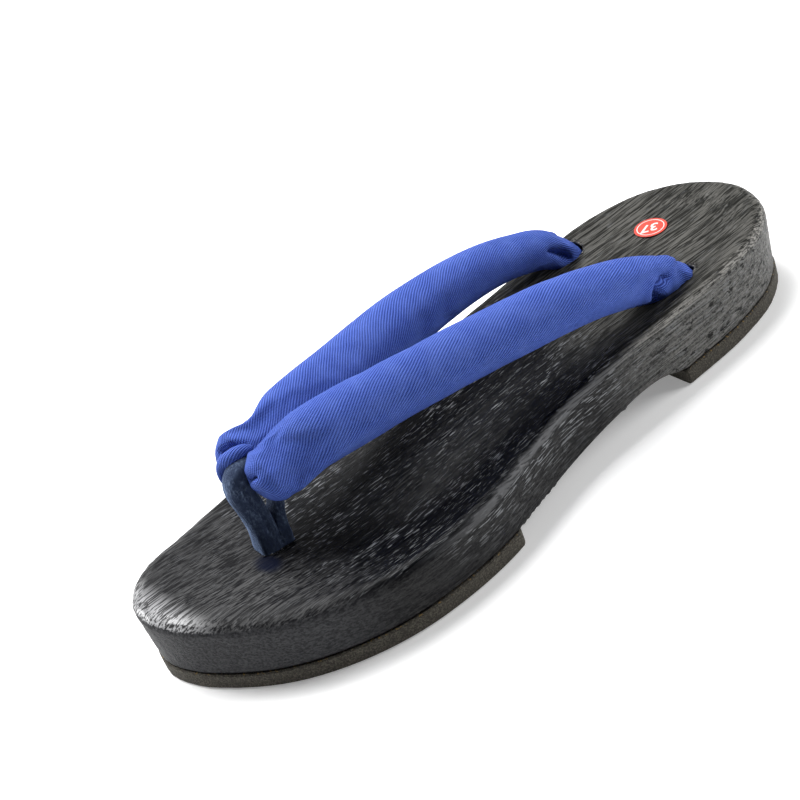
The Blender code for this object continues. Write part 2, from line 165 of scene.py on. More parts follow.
def calc(tree, operation, first, second=0.0, clamp=False):
    return add(tree, "Math", {0: first, 1: second}, operation=operation, use_clamp=clamp).outputs[0]


def times(tree, first, *others):
    for other in others:
        first = calc(tree, "MULTIPLY", first, other)
    return first


def blendColour(tree, share, first, second):
    made = tree.nodes.new("ShaderNodeMix")
    made.data_type = "RGBA"
    for index, value in ((0, share), (6, first), (7, second)):
        if isinstance(value, bpy.types.NodeSocket):
            tree.links.new(value, made.inputs[index])
        else:
            made.inputs[index].default_value = value
    return made.outputs[2]


def band(tree, value, low, high, toLow=0.0, toHigh=1.0):
    # smooth step of a value from low to high
    inputs = {"Value": value, "From Min": low, "From Max": high, "To Min": toLow, "To Max": toHigh}
    return add(tree, "MapRange", inputs, interpolation_type="SMOOTHSTEP").outputs[0]


def noiseMap(tree, where, scale, stretch=(1, 1, 1), detail=3.0, roughness=0.55, distortion=0.0):
    placed = add(tree, "Mapping", {"Vector": where, "Scale": stretch}).outputs[0]
    inputs = {"Vector": placed, "Scale": scale, "Detail": detail, "Roughness": roughness, "Distortion": distortion}
    return add(tree, "TexNoise", inputs).outputs["Fac"]


def bump(tree, height, distance, strength=1.0, below=None):
    inputs = {"Height": height, "Distance": distance, "Strength": strength}
    if below is not None:
        inputs["Normal"] = below
    return add(tree, "Bump", inputs).outputs[0]


def plug(tree, source, shader, name):
    tree.links.new(source, shader.inputs[name])


# black stained wood, its grain brushed open along Y, paler towards the toe and on the heel; the footbed through the
# waist is painted darker, a painted shade under the straps

woodLook = {
    "toeLow": (0.003, 0.003, 0.004, 1),      # in the grooves
    "toeHigh": (0.050, 0.050, 0.051, 1),     # on the ridges
    # through the waist the footbed's colours are painted darker, a painted shade under the straps; midLow is also the
    # near-black of the pits and the underside
    "midLow": (0.0005, 0.0006, 0.0010, 1),
    "midHigh": (0.0050, 0.0054, 0.0070, 1),
    "heelLow": (0.008, 0.008, 0.007, 1),
    "heelHigh": (0.080, 0.078, 0.072, 1),
    "wallToeLow": (0.018, 0.018, 0.020, 1),
    "wallToeHigh": (0.053, 0.054, 0.057, 1),
    "wallMidLow": (0.004, 0.004, 0.005, 1),
    "wallMidHigh": (0.026, 0.026, 0.026, 1),
    "wallHeelLow": (0.024, 0.024, 0.023, 1),
    "wallHeelHigh": (0.140, 0.137, 0.130, 1),
    "rimColour": (0.240, 0.232, 0.215, 1),   # torn fibres along the heel's edge
    "edgeSheenColour": (0.105, 0.106, 0.110, 1),      # painted sheen along the waist's rounded edge
    "toeHighlightPaint": (0.300, 0.300, 0.308, 1),     # painted highlight on the front of the toe's rim
    "paintedGlintColour": (0.230, 0.238, 0.248, 1),  # painted glints: short bright flecks where the gloss would catch the light
    "blueMarkColour": (0.003, 0.005, 0.016, 1), # a dark blue mark before the toe hole
    "waver": 0.0022,                         # how far the grain strays sideways, in metres
    # noises: scale, stretch, detail, roughness
    "drift": (70, (1, 0.4, 1), 1, 0.4),
    "streak": (780, (1, 0.026, 1), 2, 0.55),
    "thread": (1450, (1, 0.034, 1), 2, 0.6),
    "hair": (2300, (1, 0.050, 1), 1, 0.5),
    "dash": (2300, (1, 0.10, 1), 1, 0.5),
    "tick": (2100, (0.14, 0.09, 1), 1, 0.5), # drawn out along the walls, whichever way they run
    "pit": (620, (1, 0.40, 0.8), 3, 0.65),
    "broad": (75, (1, 0.35, 1), 3, 0.6),
    "speck": (1700, (1, 0.6, 1), 2, 0.6),
    # where a finish or a painted mark fades in, from and to, in metres
    "toeToMid": (-0.090, -0.062),
    "midToHeel": (0.018, 0.058),
    "ticksFrom": (-0.058, -0.034),
    "ticksUp": (0.010, 0.021),
    "edgeSheenFrom": (-0.064, -0.020),
    "glossAndHighlightFrom": (-0.1105, -0.1195),
    "glossAndHighlightSide": (0.024, 0.002),
    "glossAndHighlightSlant": 0.10,                       # the glossy front, with its painted highlight, runs slantwise
    "blueMarkMiddle": (0.0015, -0.0855),
    "blueMarkScale": (180.0, 260.0),
    "underside": (0.0068, 0.0060),
    # heights of the bumps, in metres
    "streakBump": 0.00028,
    "threadBump": 0.00020,
    "hairBump": 0.00009,
    "speckBump": 0.00006,
}


def zoned(tree, toMid, toHeel, names):
    # one colour for the toe, the waist and the heel, blended along the shoe
    toe, mid, heel = (woodLook[name] for name in names)
    return blendColour(tree, toHeel, blendColour(tree, toMid, toe, mid), heel)


def makeWood():
    made, tree, shader = newMaterial("black_wood_brushed")
    look = woodLook
    place = add(tree, "TexCoord", {}).outputs["Object"]
    axes = add(tree, "SeparateXYZ", {0: place}).outputs
    drift = times(tree, calc(tree, "SUBTRACT", noiseMap(tree, place, *look["drift"]), 0.5), look["waver"])
    shift = add(tree, "CombineXYZ", {0: drift, 2: drift}).outputs[0]
    grain = add(tree, "VectorMath", {0: place, 1: shift}, operation="ADD").outputs[0]
    streak = noiseMap(tree, grain, *look["streak"])
    thread = noiseMap(tree, grain, *look["thread"])
    hair = noiseMap(tree, grain, *look["hair"])
    dash = noiseMap(tree, grain, *look["dash"])
    tick = noiseMap(tree, grain, *look["tick"])
    pit = noiseMap(tree, place, *look["pit"])
    broad = noiseMap(tree, place, *look["broad"])
    speck = noiseMap(tree, place, *look["speck"])
    facing = add(tree, "SeparateXYZ", {0: add(tree, "NewGeometry", {}).outputs["Normal"]}).outputs
    top = band(tree, facing[2], 0.50, 0.86)
    rim = times(tree, band(tree, facing[2], 0.10, 0.35), band(tree, facing[2], 0.95, 0.70))
    toMid = band(tree, axes[1], *look["toeToMid"])
    toHeel = band(tree, axes[1], *look["midToHeel"])
    beforeHeel = calc(tree, "SUBTRACT", 1.0, toHeel)
    inMid = times(tree, toMid, beforeHeel)

    # the footbed's grain, with dark hair lines and painted glints as short bright flecks
    lines = times(tree, band(tree, thread, 0.43, 0.53), band(tree, streak, 0.40, 0.55, 0.55, 0.90))
    lines = calc(tree, "ADD", lines, times(tree, band(tree, hair, 0.50, 0.62), 0.25))
    lines = times(tree, lines, band(tree, hair, 0.37, 0.46, 0.30, 1.0))
    lines = calc(tree, "MULTIPLY", lines, band(tree, broad, 0.30, 0.68, 0.65, 1.15), True)
    # the waist's darker footbed colours are painted shade under the straps
    low = zoned(tree, toMid, toHeel, ("toeLow", "midLow", "heelLow"))
    high = zoned(tree, toMid, toHeel, ("toeHigh", "midHigh", "heelHigh"))
    footbed = blendColour(tree, lines, low, high)
    paintedGlints = times(tree, band(tree, dash, 0.58, 0.67), inMid, band(tree, broad, 0.47, 0.64, 0.06, 0.75))
    paintedGlints = calc(tree, "ADD", paintedGlints, times(tree, band(tree, dash, 0.62, 0.70), 0.15), True)
    footbed = blendColour(tree, paintedGlints, footbed, look["paintedGlintColour"])

    # the walls: finer grain, painted glints as short marks on the waist with pale hair lines on the heel in the same
    # colour, open pits on the heel
    low = zoned(tree, toMid, toHeel, ("wallToeLow", "wallMidLow", "wallHeelLow"))
    high = zoned(tree, toMid, toHeel, ("wallToeHigh", "wallMidHigh", "wallHeelHigh"))
    wallThreads = times(tree, band(tree, thread, 0.43, 0.57), 0.50)
    wallSpecks = times(tree, band(tree, speck, 0.38, 0.62), 0.40)
    wall = blendColour(tree, calc(tree, "ADD", wallThreads, wallSpecks), low, high)
    inWaist = times(tree, band(tree, axes[1], *look["ticksFrom"]), beforeHeel)
    wallGlints = times(tree, band(tree, tick, 0.56, 0.65), inWaist, band(tree, axes[2], *look["ticksUp"], 0.12, 0.7))
    wallGlints = calc(tree, "ADD", wallGlints, times(tree, band(tree, hair, 0.54, 0.64), toHeel, 0.30), True)
    wall = blendColour(tree, wallGlints, wall, look["paintedGlintColour"])
    pits = times(tree, band(tree, pit, 0.43, 0.36), calc(tree, "ADD", times(tree, toHeel, 0.80), 0.10))
    wall = blendColour(tree, pits, wall, look["midLow"])
    colour = blendColour(tree, top, wall, footbed)

    # the edge: a painted sheen at the waist, torn fibres at the heel, and at the toe a real gloss with a painted
    # highlight
    # painted sheen: the waist's rounded edge is painted grey where it would catch the light
    paintedEdgeSheen = times(tree, rim, band(tree, axes[1], *look["edgeSheenFrom"]), beforeHeel)
    paintedEdgeSheen = times(tree, paintedEdgeSheen, band(tree, thread, 0.38, 0.50, 0.35, 0.90))
    colour = blendColour(tree, paintedEdgeSheen, colour, look["edgeSheenColour"])
    torn = times(tree, band(tree, hair, 0.44, 0.56), band(tree, thread, 0.40, 0.52, 0.35, 1.0))
    torn = times(tree, torn, band(tree, speck, 0.38, 0.52, 0.5, 1.0), rim, toHeel, 0.95)
    colour = blendColour(tree, torn, colour, look["rimColour"])
    # painted highlight: the glossy front of the toe's rim is painted pale; the same mask also sets its real coat
    ahead = calc(tree, "SUBTRACT", axes[1], times(tree, axes[0], look["glossAndHighlightSlant"]))
    front = times(tree, band(tree, ahead, *look["glossAndHighlightFrom"]), band(tree, axes[0], *look["glossAndHighlightSide"], 0.10, 1.0))
    front = times(tree, front, band(tree, facing[2], 0.42, 0.70))
    paintedToeHighlight = times(tree, front, band(tree, thread, 0.42, 0.55, 0.06, 1.0), 0.90)
    colour = blendColour(tree, paintedToeHighlight, colour, look["toeHighlightPaint"])

    # a round dark blue mark before the toe hole, and the plain underside
    aside, along = (times(tree, calc(tree, "SUBTRACT", axes[axis], look["blueMarkMiddle"][axis]), look["blueMarkScale"][axis])
                    for axis in (0, 1))
    blueMarkPlace = add(tree, "CombineXYZ", {0: aside, 1: along}).outputs[0]
    blueMarkFar = add(tree, "VectorMath", {0: blueMarkPlace}, operation="LENGTH").outputs["Value"]
    blueMark = times(tree, band(tree, blueMarkFar, 1.3, 0.5), top, band(tree, broad, 0.35, 0.60, 0.45, 0.9))
    colour = blendColour(tree, blueMark, colour, look["blueMarkColour"])
    colour = blendColour(tree, band(tree, axes[2], *look["underside"]), colour, look["midLow"])
    plug(tree, colour, shader, "Base Color")

    rough = calc(tree, "ADD", times(tree, broad, 0.20), 0.36)
    rough = calc(tree, "SUBTRACT", rough, times(tree, inMid, 0.20), True)
    plug(tree, rough, shader, "Roughness")
    relief = bump(tree, streak, look["streakBump"], 0.9)
    relief = bump(tree, thread, look["threadBump"], 0.9, relief)
    relief = bump(tree, hair, look["hairBump"], 0.8, relief)
    relief = bump(tree, speck, look["speckBump"], 0.8, relief)
    plug(tree, relief, shader, "Normal")
    lacquer = calc(tree, "ADD", times(tree, front, 0.6), times(tree, inMid, 0.03), True)
    plug(tree, times(tree, lacquer, band(tree, thread, 0.35, 0.55, 0.2, 1.0)), shader, "Coat Weight")
    shader.inputs["Coat Roughness"].default_value = 0.2
    shader.inputs["Specular IOR Level"].default_value = 0.05
    return made


baseLook = {
    "meshDepth": 9,            # of the remesh grid
    "meshShare": 0.62,         # of that grid that the base fills
    "grainRelief": 0.00010,    # height of the broad grain ridges
    "grainSize": (0.0026, 0.0700, 0.0026),
    "waveRelief": 0.00018,     # hand-planed unevenness
    "waveSize": (0.014, 0.040, 0.014),
    "chipRelief": 0.00022,     # nibbled edge of the rims
    "chipSize": (0.0026, 0.0055, 0.0026),
    "seat": (0.0065, 0.0085),  # the glued underside stays flat up to here
}


def makeBase(wood):
    look = baseLook
    base = copyOfNode("wood_base", "carved_base")
    modify(base, "REMESH", mode="SHARP", octree_depth=look["meshDepth"], scale=look["meshShare"],
           use_smooth_shade=True, use_remove_disconnected=False)
    co, out = points(base), normals(base)
    grain = softNoise(co, look["grainSize"])
    wave = softNoise(co, look["waveSize"], 3.0)
    chip = softNoise(co, look["chipSize"], 7.0)
    edge = 1 - np.abs(out[:, 2] - 0.6) / 0.4             # strongest where the surface turns from top to wall
    lift = look["grainRelief"] * grain + look["waveRelief"] * wave + look["chipRelief"] * chip * np.clip(edge, 0, 1)
    movePoints(base, co + out * (lift * smoothStep(*look["seat"], co[:, 2]))[:, None])
    base.data.materials.append(wood)
    pick(base)
    bpy.ops.object.shade_smooth()
    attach(base, "root")
    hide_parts("wood_base")
    print("base done:", len(base.data.polygons), "faces")
    return base


# rubber pads: dull, fine grained, with a cut edge

rubberLook = {
    "colour": (0.030, 0.027, 0.022, 1),
    "paleColour": (0.120, 0.110, 0.090, 1),
    "glueColour": (0.230, 0.150, 0.050, 1),   # specks of dried glue along the top edge
    # noises: scale, stretch, detail, roughness
    "crumb": (1900, (1, 1, 1), 3, 0.7),
    "dirt": (160, (1, 1, 1), 3, 0.6),
    "glueSpots": (900, (1, 1, 1), 2, 0.5),
    "glueUp": (0.0051, 0.0054),
    "crumbBump": 0.00018,
    "edgeRelief": 0.00010,
    "edgeSize": (0.0045, 0.0045, 0.0030),
    "meshDepth": 8,
    "meshShares": {"fore_rubber_sole": 0.60, "heel_rubber_sole": 0.42},
}


def makeRubber():
    made, tree, shader = newMaterial("black_rubber_fine")
    look = rubberLook
    place = add(tree, "TexCoord", {}).outputs["Object"]
    crumb = noiseMap(tree, place, *look["crumb"])
    dirt = noiseMap(tree, place, *look["dirt"])
    share = times(tree, band(tree, crumb, 0.40, 0.68), calc(tree, "ADD", times(tree, dirt, 0.9), 0.3))
    colour = blendColour(tree, share, look["colour"], look["paleColour"])
    height = add(tree, "SeparateXYZ", {0: place}).outputs[2]
    spots = band(tree, noiseMap(tree, place, *look["glueSpots"]), 0.58, 0.66)
    glue = times(tree, band(tree, height, *look["glueUp"]), spots, 0.8)
    colour = blendColour(tree, glue, colour, look["glueColour"])
    plug(tree, colour, shader, "Base Color")
    plug(tree, calc(tree, "ADD", times(tree, dirt, 0.25), 0.62), shader, "Roughness")
    plug(tree, bump(tree, crumb, look["crumbBump"], 0.8), shader, "Normal")
    shader.inputs["Specular IOR Level"].default_value = 0.18
    return made


def makePad(node, name, rubber):
    look = rubberLook
    pad = copyOfNode(node, name)
    modify(pad, "REMESH", mode="SHARP", octree_depth=look["meshDepth"], scale=look["meshShares"][node],
           use_smooth_shade=True, use_remove_disconnected=False)
    co, out = points(pad), normals(pad)
    side = 1 - smoothStep(0.3, 0.8, np.abs(out[:, 2]))
    lift = softNoise(co, look["edgeSize"], 2.0) * look["edgeRelief"] * side
    movePoints(pad, co + out * lift[:, None])
    pad.data.materials.append(rubber)
    pick(pad)
    bpy.ops.object.shade_smooth_by_angle(angle=radians(38))
    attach(pad, "root")
    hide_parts(node)
    print("pad done:", name, len(pad.data.polygons), "faces")
    return pad


# blue twill over padding

twillLook = {
    "ribPitch": 0.00080,
    "ribLean": radians(38),   # from the arm's length
    "ribColour": (0.086, 0.156, 0.560, 1),
    "valleyColour": (0.009, 0.018, 0.138, 1),
    "fadeColour": (0.150, 0.230, 0.640, 1),
    "yarnScale": 2400,
}


def makeTwill():
    made, tree, shader = newMaterial("blue_twill")
    look = twillLook
    flat = add(tree, "UVMap", {}, uv_map="weave").outputs[0]
    place = add(tree, "TexCoord", {}).outputs["Object"]
    wander = noiseMap(tree, place, 70, (1, 1, 1), 2, 0.5)
    turned = add(tree, "Mapping", {"Vector": flat, "Rotation": (0, 0, look["ribLean"])}).outputs[0]
    axes = add(tree, "SeparateXYZ", {0: turned}).outputs
    across = calc(tree, "ADD", axes[1], calc(tree, "MULTIPLY", wander, 0.0016))
    turns = calc(tree, "MULTIPLY", across, 2 * pi / look["ribPitch"])
    rib = calc(tree, "ADD", calc(tree, "MULTIPLY", calc(tree, "SINE", turns), 0.5), 0.5)
    steps = calc(tree, "MULTIPLY", axes[0], 2 * pi / (look["ribPitch"] * 0.55))
    stitch = calc(tree, "SINE", calc(tree, "ADD", steps, calc(tree, "MULTIPLY", turns, 0.5)))
    yarn = noiseMap(tree, place, look["yarnScale"], (1, 1, 1), 2, 0.6)
    cloud = noiseMap(tree, place, 140, (1, 1, 1), 3, 0.6)
    share = calc(tree, "ADD", calc(tree, "MULTIPLY", rib, 0.75), calc(tree, "MULTIPLY", yarn, 0.55))
    share = calc(tree, "ADD", share, calc(tree, "MULTIPLY", stitch, 0.22))
    share = calc(tree, "SUBTRACT", share, 0.14, True)
    colour = blendColour(tree, share, look["valleyColour"], look["ribColour"])
    lint = calc(tree, "MULTIPLY", band(tree, yarn, 0.62, 0.78), 0.35)
    colour = blendColour(tree, lint, colour, look["fadeColour"])
    colour = blendColour(tree, band(tree, cloud, 0.35, 0.75, 0.0, 0.16), colour, look["fadeColour"])
    plug(tree, colour, shader, "Base Color")
    shader.inputs["Roughness"].default_value = 0.85
    shader.inputs["Specular IOR Level"].default_value = 0.1
    shader.inputs["Sheen Weight"].default_value = 0.05
    shader.inputs["Sheen Roughness"].default_value = 0.45
    shader.inputs["Sheen Tint"].default_value = (0.35, 0.5, 1.0, 1)
    height = calc(tree, "ADD", rib, calc(tree, "MULTIPLY", yarn, 0.35))
    height = calc(tree, "ADD", height, calc(tree, "MULTIPLY", stitch, 0.18))
    plug(tree, bump(tree, height, 0.00026, 0.9), shader, "Normal")
    return made


# the padded arms: a table of stations in millimetres, from the nose to the hole

armLook = {
    "sides": 48,
    "ringGap": 0.0016,
    "noseCap": 8,             # rings that close the nose
    "clothRound": 0.0590,     # width of the cloth round the padding
    "slack": 0.94,            # size before the cloth swells
    "pressure": 4.0,
    "frames": 20,
    "swellCap": 0.0016,
    "contact": -0.0056,       # plane where the two noses press together
    "noseDepth": 0.78,        # of the rounded front, as a share of the radius
}

outerArmRows = (
    # x, y, z, radius
    (1.2, -72.7, 47.8, 9.3),
    (2.1, -65.6, 48.9, 9.5),
    (3.2, -58.7, 49.8, 9.75),
    (5.6, -44.6, 50.4, 9.75),
    (8.2, -30.6, 50.6, 9.45),
    (10.6, -16.5, 50.0, 9.3),
    (12.8, -2.5, 48.9, 9.15),
    (14.7, 11.6, 47.7, 9.05),
    (16.2, 25.6, 46.0, 8.9),
    (17.1, 39.6, 42.6, 8.65),
    (17.3, 53.7, 37.6, 8.25),
    (17.0, 60.7, 34.6, 7.6),
    (16.3, 66.5, 31.4, 7.1),
    (15.5, 71.0, 28.0, 6.9),
    (14.9, 75.0, 23.2, 6.1),
    (14.7, 78.6, 17.6, 5.0),
)

innerArmRows = (
    # x, y, z, radius
    (-13.0, -74.4, 48.5, 9.35),
    (-13.7, -66.0, 48.1, 9.5),
    (-15.2, -59.1, 47.7, 9.75),
    (-18.2, -45.5, 46.6, 9.95),
    (-21.3, -32.0, 45.4, 9.9),
    (-24.0, -18.6, 44.8, 9.9),
    (-26.2, -5.0, 44.4, 9.8),
    (-28.0, 8.6, 43.6, 9.3),
    (-29.4, 22.2, 42.5, 8.6),
    (-30.0, 35.8, 40.6, 7.85),
    (-30.0, 46.0, 38.2, 7.2),
    (-30.0, 52.0, 36.4, 6.9),
    (-30.3, 57.5, 33.8, 6.4),
    (-30.7, 62.3, 30.2, 6.0),
    (-30.9, 66.0, 25.8, 5.6),
    (-30.9, 69.0, 20.5, 5.0),
)

# soft troughs (depth above zero) and ridges (below zero) laid on the cloth along lines of points, in millimetres
outerFolds = (
    # depth, width, points
    (1.8, 0.6, ((-0.2, -79.8, 49.4), (1.2, -79.4, 50.2), (2.6, -78.9, 51.1), (4.2, -78.3, 52.0))),
    (-0.6, 1.6, ((-0.6, -79.0, 52.8), (1.6, -78.5, 54.2), (3.8, -77.4, 55.2))),
    (-0.5, 2.0, ((1.6, -80.6, 48.0), (4.4, -79.4, 50.0), (7.0, -77.4, 51.6))),
    (2.5, 1.3, ((23.6, 64.8, 35.2), (24.6, 63.0, 36.2), (25.2, 61.2, 36.2), (25.4, 59.6, 35.2), (24.8, 58.8, 33.4),
                (23.6, 58.8, 31.2), (22.0, 59.4, 29.2))),
    (-0.8, 2.2, ((24.6, 63.4, 33.8), (24.2, 62.4, 31.8), (23.0, 62.6, 29.8))),
    (-0.7, 2.0, ((25.6, 58.0, 39.0), (25.8, 55.8, 36.6), (25.0, 55.8, 33.0), (23.2, 56.4, 30.4))),
    (0.35, 3.2, ((5.0, -36.0, 59.6), (10.0, -33.0, 59.2))),
)
innerFolds = (
    (2.5, 1.0, ((-14.2, -79.4, 54.2), (-12.6, -78.6, 55.4), (-10.6, -77.4, 56.2), (-9.0, -75.6, 56.6), (-7.6, -72.6, 56.2))),
    (0.6, 2.6, ((-19.3, 12.6, 46.4), (-18.8, 8.0, 43.0), (-19.2, 12.0, 39.0))),
    (0.7, 2.6, ((-17.3, 1.1, 46.7), (-17.0, -2.0, 42.7))),
    (0.45, 3.0, ((-21.2, -29.5, 54.8), (-16.0, -26.0, 53.6))),
    (1.9, 1.0, ((-24.0, 57.4, 35.8), (-24.3, 59.2, 34.0), (-24.7, 61.2, 31.6), (-25.4, 63.2, 29.4))),
    (-0.6, 1.6, ((-23.8, 60.0, 37.4), (-24.6, 63.4, 33.8), (-25.4, 65.6, 31.0))),
    (-0.5, 1.8, ((-23.8, 57.4, 32.4), (-24.4, 60.4, 29.2))),
)

# the cloth folded over the loop's top
lipRows = (
    (-9.9, -83.2, 46.6, 0.5),
    (-10.8, -82.9, 48.2, 1.2),
    (-11.4, -82.2, 49.8, 1.9),
    (-11.2, -81.2, 51.3, 2.3),
    (-10.0, -79.7, 52.7, 2.5),
    (-8.4, -77.8, 53.9, 2.5),
    (-7.1, -75.8, 54.6, 2.2),
    (-6.3, -73.8, 54.6, 1.6),
    (-5.9, -72.2, 54.0, 1.0),
)


def readRoute(rows):
    # even stations on the smooth line through the rows: places and radii, in metres
    rows = np.array(rows) * mm
    steps = np.linalg.norm(np.diff(rows[:, :3], axis=0), axis=1)
    along = np.concatenate([[0], np.cumsum(steps)])
    count = int(along[-1] / armLook["ringGap"])
    read = smoothTable(np.column_stack([along, rows]), np.linspace(0, along[-1], count))
    return read[:, :3], read[:, 3]


def tubeRings(line, radii, sides):
    # one ring of points per station, the seam at the bottom, closed by a round nose
    ahead = np.gradient(line, axis=0)
    ahead /= np.linalg.norm(ahead, axis=1)[:, None]
    side = np.cross(ahead, (0, 0, 1))
    side /= np.linalg.norm(side, axis=1)[:, None]
    upward = np.cross(side, ahead)
    turn = np.linspace(0, 2 * pi, sides, endpoint=False) - pi
    ring = np.cos(turn)[None, :, None] * upward[:, None, :] + np.sin(turn)[None, :, None] * side[:, None, :]
    rings = line[:, None, :] + ring * radii[:, None, None]
    caps = []
    for share in np.linspace(0, 1, armLook["noseCap"], endpoint=False)[1:]:
        tilt = share * pi / 2
        middle = line[0] - ahead[0] * radii[0] * armLook["noseDepth"] * sin(tilt)
        caps.append(middle + ring[0] * radii[0] * cos(tilt))
    return np.concatenate([np.array(caps)[::-1], rings]), line[0] - ahead[0] * radii[0] * armLook["noseDepth"]


def makeTube(name, rows, size, sides, wide):
    line, radii = readRoute(rows)
    rings, tip = tubeRings(line, radii * size, sides)
    count, sides = rings.shape[:2]
    verts = [tuple(p) for p in rings.reshape(-1, 3)] + [tuple(tip), tuple(line[-1])]
    faces, coords = [], []
    middles = rings.mean(1)
    gone = np.concatenate([[0], np.cumsum(np.linalg.norm(np.diff(middles, axis=0), axis=1))])
    for ring in range(count - 1):
        for step in range(sides):
            after = (step + 1) % sides
            faces.append((ring * sides + step, ring * sides + after,
                          (ring + 1) * sides + after, (ring + 1) * sides + step))
            coords += [(gone[ring], wide * step / sides), (gone[ring], wide * (step + 1) / sides),
                       (gone[ring + 1], wide * (step + 1) / sides), (gone[ring + 1], wide * step / sides)]
    for end, ring, flip in ((len(verts) - 2, 0, True), (len(verts) - 1, count - 1, False)):
        for step in range(sides):
            after = (step + 1) % sides
            first, second = (after, step) if flip else (step, after)
            faces.append((ring * sides + first, ring * sides + second, end))
            reach = gone[ring] + (-0.002 if flip else 0.002)
            coords += [(gone[ring], wide * (first if first or step == 0 or flip is False else sides) / sides),
                       (gone[ring], wide * second / sides), (reach, wide * (step + 0.5) / sides)]
    mesh = bpy.data.meshes.new(name)
    mesh.from_pydata(verts, [], faces)
    weave = mesh.uv_layers.new(name="weave")
    weave.data.foreach_set("uv", np.array(coords, dtype=np.float32).ravel())
    piece = bpy.data.objects.new(name, mesh)
    scene.collection.objects.link(piece)
    pick(piece)
    bpy.ops.object.mode_set(mode="EDIT")
    bpy.ops.mesh.select_all(action="SELECT")
    bpy.ops.mesh.normals_make_consistent(inside=False)
    bpy.ops.object.mode_set(mode="OBJECT")
    return piece, count, sides


def swell(piece, goal, held):
    # the padded cloth is blown up from a slightly smaller tube; no point moves further than the cap from its goal
    group = piece.vertex_groups.new(name="held")
    group.add([int(index) for index in held], 1.0, "REPLACE")
    cloth = piece.modifiers.new("Cloth", "CLOTH")
    settings = cloth.settings
    settings.quality = 7
    settings.mass = 0.2
    settings.tension_stiffness = settings.compression_stiffness = 12
    settings.shear_stiffness = 4
    settings.bending_stiffness = 0.15
    settings.shrink_min = -0.07
    settings.use_pressure = True
    settings.uniform_pressure_force = armLook["pressure"]
    settings.vertex_group_mass = "held"
    settings.effector_weights.gravity = 0
    cloth.collision_settings.use_collision = False
    cloth.point_cache.frame_start = 1
    cloth.point_cache.frame_end = armLook["frames"]
    for step in range(1, armLook["frames"] + 1):
        scene.frame_set(step)
    seen = piece.evaluated_get(bpy.context.evaluated_depsgraph_get())
    blown = np.zeros(len(seen.data.vertices) * 3)
    seen.data.vertices.foreach_get("co", blown)
    blown = blown.reshape(-1, 3)
    piece.modifiers.remove(cloth)
    piece.vertex_groups.remove(group)
    scene.frame_set(1)
    away = blown - goal
    far = np.linalg.norm(away, axis=1)[:, None]
    cap = armLook["swellCap"]
    away *= np.minimum(1, cap * np.tanh(far / cap) / np.maximum(far, 1e-9))
    print("swelled:", piece.name, "mean", round(float(far.mean() * 1000), 2), "mm, most", round(float(far.max() * 1000), 2), "mm")
    movePoints(piece, goal + away)


def press(co, middle, side, fromY):
    # the noses flatten against each other at the contact plane
    over = (middle - co[:, 0]) * side
    near = 1 - smoothStep(fromY - 0.012, fromY, co[:, 1])
    depth = over + 0.0004
    pushed = np.where(depth > 0, depth, 0) * near
    soft = 0.0012 * np.exp(-np.clip(-depth, 0, None) / 0.0018) * near * (depth <= 0)
    co[:, 0] += side * (pushed + soft * 0.3)
    return co


def laidFolds(co, out, folds):
    for depth, width, line in folds:
        # each point is first brought onto the cloth
        line = np.array([co[np.argmin(np.linalg.norm(co - place, axis=1))] for place in np.array(line) * mm])
        near = np.full(len(co), 1.0)
        for start, end in zip(line, line[1:]):
            span = end - start
            share = np.clip((co - start) @ span / max(span @ span, 1e-12), 0, 1)
            near = np.minimum(near, np.linalg.norm(co - start - share[:, None] * span, axis=1))
        co = co - out * (depth * mm * np.exp(-(near / (width * mm)) ** 2))[:, None]
    return co


def makeArm(name, rows, side, folds, twill):
    piece, count, sides = makeTube(name, rows, armLook["slack"], armLook["sides"], armLook["clothRound"])
    line, radii = readRoute(rows)
    goalRings, tip = tubeRings(line, radii, sides)
    goal = np.vstack([goalRings.reshape(-1, 3), [tip], [line[-1]]])
    ringOf = np.concatenate([np.repeat(np.arange(count), sides), [0, count - 1]])
    held = np.nonzero((ringOf < 6) | (ringOf > count - 8))[0]
    swell(piece, goal, held)
    co = press(points(piece), armLook["contact"], side, -0.046)
    movePoints(piece, co)
    modify(piece, "SUBSURF", levels=1, render_levels=1)
    movePoints(piece, laidFolds(points(piece), normals(piece), folds))
    piece.data.materials.append(twill)
    pick(piece)
    bpy.ops.object.shade_smooth()
    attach(piece, "root")
    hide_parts("strap")
    print("arm done:", name, len(piece.data.polygons), "faces")
    return piece


def makeLip(twill):
    piece = makeTube("strap_nose_fold", lipRows, 1.0, 24, 0.0150)[0]
    modify(piece, "SUBSURF", levels=1, render_levels=1)
    co, out = points(piece), normals(piece)
    movePoints(piece, co + out * (0.00025 * softNoise(co, (0.005, 0.005, 0.005), 4.0))[:, None])
    piece.data.materials.append(twill)
    pick(piece)
    bpy.ops.object.shade_smooth()
    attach(piece, "root")
    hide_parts("strap")
    print("fold done:", len(piece.data.polygons), "faces")
    return piece


# navy suede loop: front leg, over the neck of the strap, rear leg

suedeLook = {
    "colour": (0.017, 0.026, 0.054, 1),
    "napColour": (0.125, 0.170, 0.260, 1),
    "napScale": 1100,
}


